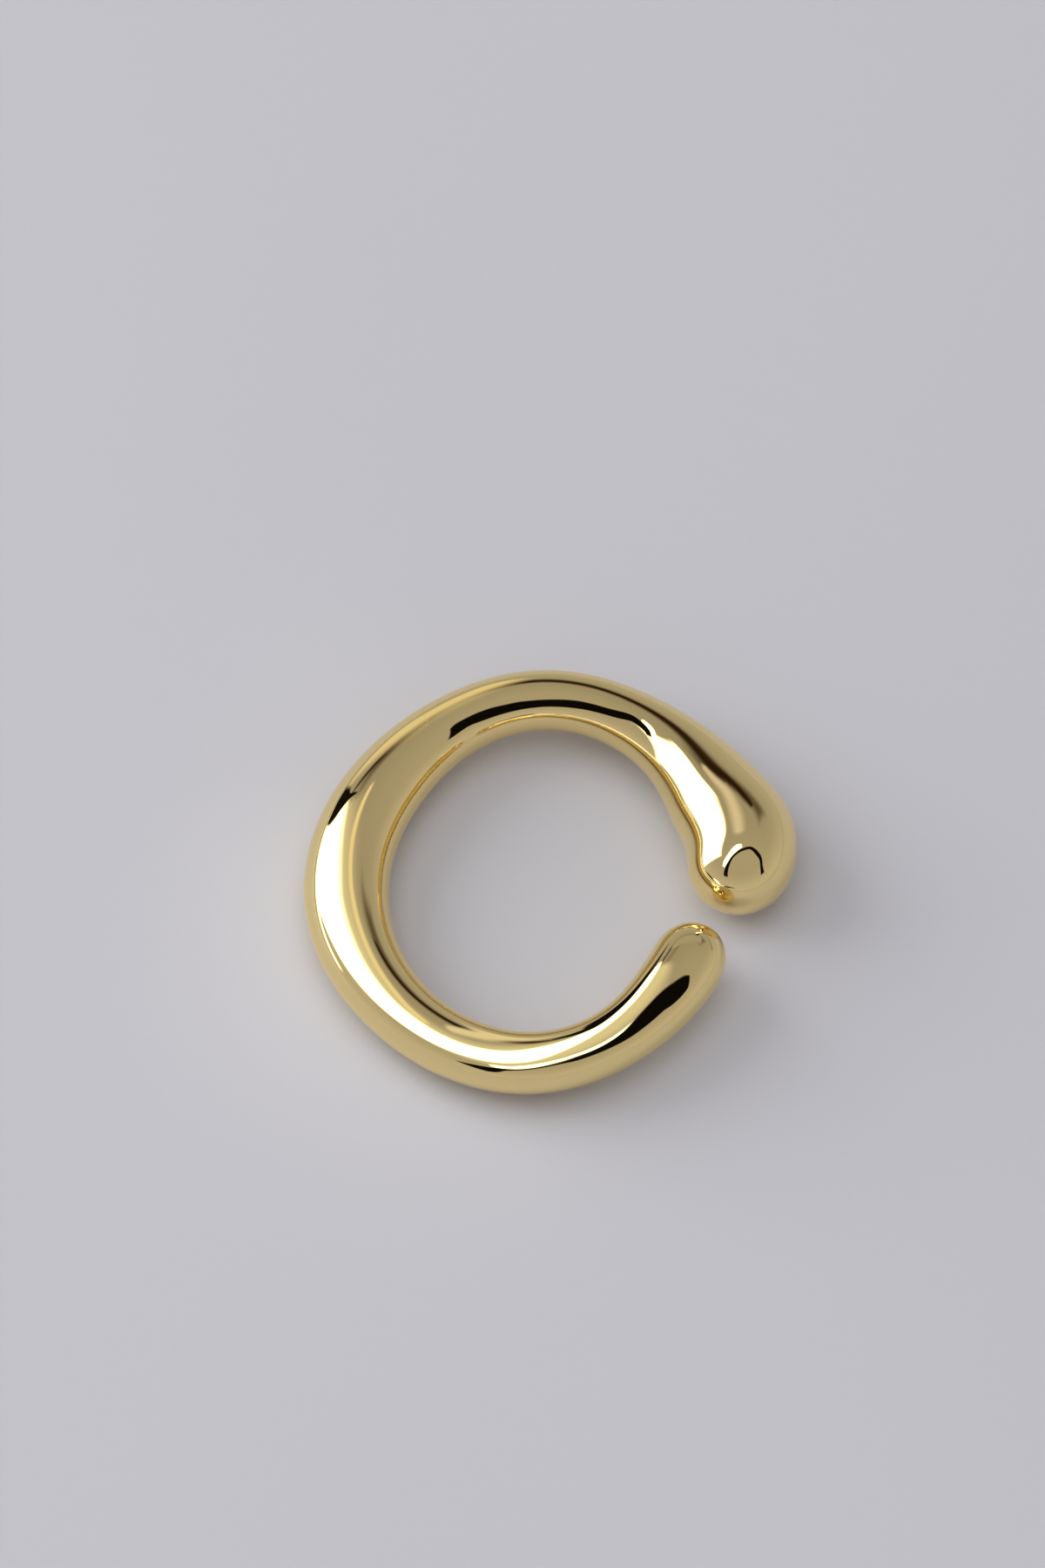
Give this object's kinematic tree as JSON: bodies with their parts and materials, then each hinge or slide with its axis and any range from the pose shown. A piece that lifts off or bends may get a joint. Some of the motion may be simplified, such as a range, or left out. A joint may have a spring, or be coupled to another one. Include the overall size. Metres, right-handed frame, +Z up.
{
  "type": "ear cuff",
  "caption": "Open ring of polished gold-coloured metal that grips the rim of an ear, with a swollen drop-like end above a slimmer rounded tip.",
  "frame": {"origin": "on the surface that the cuff lies on, under the middle of its outline", "axes": "+Z up from that surface, +X across the ring towards the mouth, +Y across the ring towards the thin far side"},
  "size_m": [0.0152, 0.0146, 0.0033],
  "materials": {
    "polished_gold": "polished"
  },
  "bodies": {
    "root": {"cuff_band": "polished_gold"}
  },
  "joints": []
}
